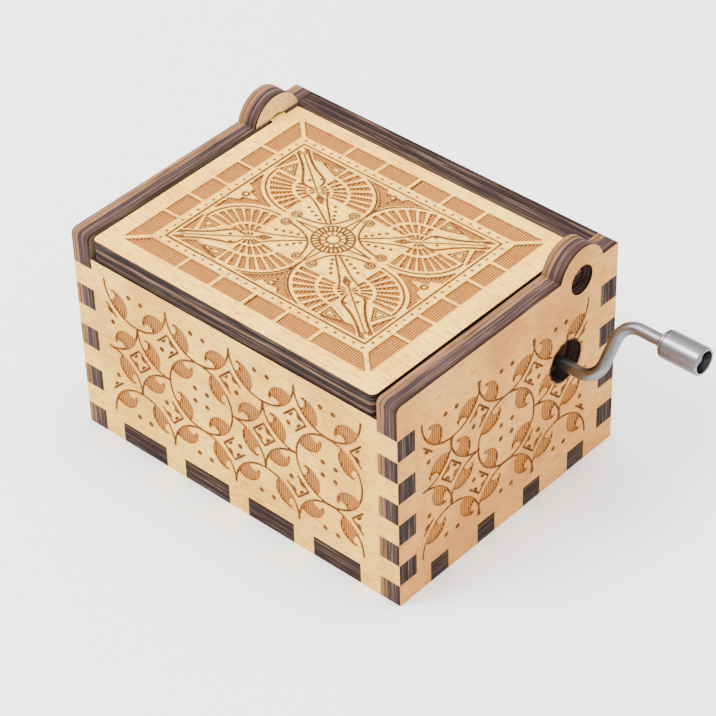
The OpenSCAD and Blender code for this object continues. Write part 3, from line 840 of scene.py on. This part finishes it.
def build_case():
    """The four walls, each engraved on the outside."""
    # the walls' inner faces, darkened with painted shade below the lid's top for the shadow in the gap
    shaded_inside = veneer("inside_face", "X", "X", *EAR_TONES, shaded_below=lid_high[2] * MM)
    long_pattern = wall_pattern("xoxo", 12.95, -0.3)
    for node, y, way in (("front_panel", front_low[1], 1), ("back_panel", back_high[1], -1)):
        place = lambda u, v, d, y=y, way=way: np.stack([u * way, y + d * way, v], -1)
        edge = laser_edge(node + "_edge", "Y", (y + way * ply) * MM, y * MM, CROSS_PLIES)
        face = veneer(node + "_face", "X", "X", *LONG_TONES)
        engraved_board(node, "case", place, (0, -way, 0), long_pattern,
                       (-LONG_HALF, ENGRAVED_LOW), (LONG_HALF, ENGRAVED_HIGH), [face, edge, shaded_inside])

    side_pattern = wall_pattern("xox", 12.5, -0.8)
    for node, x, way, hole in (("right_panel", right_high[0], 1, crank_hole),
                               ("left_panel", left_low[0], -1, None)):
        place = lambda u, v, d, x=x, way=way: np.stack([x - d * way, u * way, v], -1)
        inner, outer = sorted((x, x - way * ply))
        edge = laser_edge(node + "_edge", "X", inner * MM, outer * MM, SIDE_PLIES)
        scorch = [size * MM for size in hole] if hole else None
        # the sides' veneer tone is darker as painted shade
        face = veneer(node + "_face", "Y", "Y", *SIDE_SHADED_TONES, scorch=scorch)
        engraved_board(node, "case", place, (way, 0, 0), side_pattern,
                       (-SIDE_FRONT, ENGRAVED_LOW), (SIDE_BACK, ENGRAVED_HIGH), [face, edge, shaded_inside], hole)


def build_base():
    """The bottom panel, whose tabs show their cut edges through the walls."""
    low, high = span("bottom_panel")
    edge = laser_edge("base_edge", "Z", low[2] * MM, high[2] * MM, CROSS_PLIES)
    plain_board("bottom_panel", "case", [veneer("base_face", "X", "X", *LONG_TONES), edge])


def build_lid():
    """The lid, with its panel of ornament set a little off its middle and drawn in along the depth."""
    shift_x, shift_y, drawn_in = 0.4, 1.7, 0.96
    edge = laser_edge("lid_edge", "Z", lid_low[2] * MM, lid_high[2] * MM, LID_PLIES)
    # the lid's veneer tone is lighter as painted light on its top
    face = veneer("lid_face", "X", "X", *LID_LIT_TONES)
    under = veneer("lid_underside", "X", "X", *LONG_TONES)
    pattern = lambda u, v: lid_panel(u + shift_x, (v + shift_y) / drawn_in)
    place = lambda u, v, d: np.stack([u, v, lid_high[2] - d], -1)
    engraved_board("lid", "lid", place, (0, 0, 1), pattern, (-26.4, -23.0), (25.6, 19.6),
                   [face, edge, under])


# ---------------------------------------------------------------- metal finishes

def metal(name, colour, dull, rough, lines, line_scale=900, bump=0.08, shade=0.7):
    """Bare metal: a tone that drifts, tool marks drawn out along one way, and a few dull spots."""
    f = Finish(name)
    marks = f.noise(f.scaled(*lines), line_scale, 3, 0.6)
    drift = f.noise(f.place, 130, 3, 0.5)
    in_marks = tuple(c * shade for c in dull[:3]) + (1.0,)
    tone = f.mix(f.fade(drift, 0.35, 0.75, 0, 0.6), colour, dull)
    tone = f.mix(f.fade(marks, 0.55, 0.8, 0, 0.35), tone, in_marks)
    spread = f.math("ADD", f.fade(marks, 0.3, 0.7, rough * 0.8, rough * 1.25),
                    f.fade(drift, 0.45, 0.8, 0, rough * 0.35))
    return f.done(tone, spread, f.bump(marks, bump, 0.02 * MM), {"Metallic": 1.0})


# Each metal slot's tone, dull tone, roughness, way of its tool marks, their scale, bump and shade
METALS = {
    "crank_steel": ((122, 122, 124), (108, 107, 108), 0.32, (1, 7, 7), 300, 0.04, 0.9),
    "sheet_steel": ((206, 205, 200), (176, 174, 168), 0.3, (1, 1, 8), 500, 0.08, 0.7),
    "comb_steel": ((206, 208, 212), (168, 170, 176), 0.26, (1, 9, 9), 800, 0.15, 0.7),
    "screw_steel": ((204, 203, 200), (160, 158, 154), 0.28, (1, 6, 6), 600, 0.08, 0.7),
    "cast_frame": ((188, 189, 190), (150, 151, 153), 0.45, (1, 1, 1), 420, 0.35, 0.7),
    "brass": ((222, 184, 104), (186, 144, 74), 0.24, (6, 1, 6), 700, 0.08, 0.7),
    "brass_screw": ((216, 178, 100), (170, 132, 70), 0.3, (1, 1, 1), 600, 0.08, 0.7),
    "lead": ((112, 114, 118), (84, 85, 88), 0.5, (1, 1, 1), 500, 0.3, 0.7),
}


def paint_nodes():
    """Every CAD node that stays gets the finish of its material slot."""
    finishes = {name: metal(name, srgb(*tone), srgb(*dull), *rest)
                for name, (tone, dull, *rest) in METALS.items()}
    for part in frame["record"]["subparts"]:
        finish = finishes.get(part["material_slot"])
        if finish is None:
            continue
        mesh = nodes[part["node"]].data
        mesh.materials.clear()
        mesh.materials.append(finish)


# ---------------------------------------------------------------- stage

FLOOR_GAP, FLOOR_REACH = 0.02 * MM, 3.0
SKY = 1.5
LAMPS = {"key": ((-0.45, -0.6, 1.1), 26, 0.5), "top": ((0.1, 0.2, 1.3), 24, 0.7)}  # place, watts, size
LIT_HEIGHT = 0.02


def lay_floor():
    """A pale sheet of paper just under the box."""
    mesh = bpy.data.meshes.new("floor")
    corners = ((-1, -1), (1, -1), (1, 1), (-1, 1))
    places = [(x * FLOOR_REACH, y * FLOOR_REACH, -FLOOR_GAP) for x, y in corners]
    mesh.from_pydata(places, [], [(0, 1, 2, 3)])
    floor = bpy.data.objects.new("floor", mesh)
    bpy.context.scene.collection.objects.link(floor)
    f = Finish("floor_paper")
    paper = f.mix(f.noise(f.place, 3), srgb(250, 250, 250), srgb(252, 252, 252))
    mesh.materials.append(f.done(paper, 0.9))


def light_stage():
    """An even white sky and two soft lamps that face the box."""
    world = bpy.data.worlds.new("studio")
    world.use_nodes = True
    colour, strength = world.node_tree.nodes["Background"].inputs[:2]
    colour.default_value = (1, 1, 1, 1)
    strength.default_value = SKY
    bpy.context.scene.world = world
    for name, (where, power, size) in LAMPS.items():
        data = bpy.data.lights.new(name, "AREA")
        data.energy, data.size = power, size
        lamp = bpy.data.objects.new(name, data)
        lamp.location = where
        towards = Vector((0, 0, LIT_HEIGHT)) - Vector(where)
        lamp.rotation_euler = towards.to_track_quat("-Z", "Y").to_euler()
        bpy.context.scene.collection.objects.link(lamp)


place_camera()
build_case()
build_base()
build_lid()
paint_nodes()
lay_floor()
light_stage()
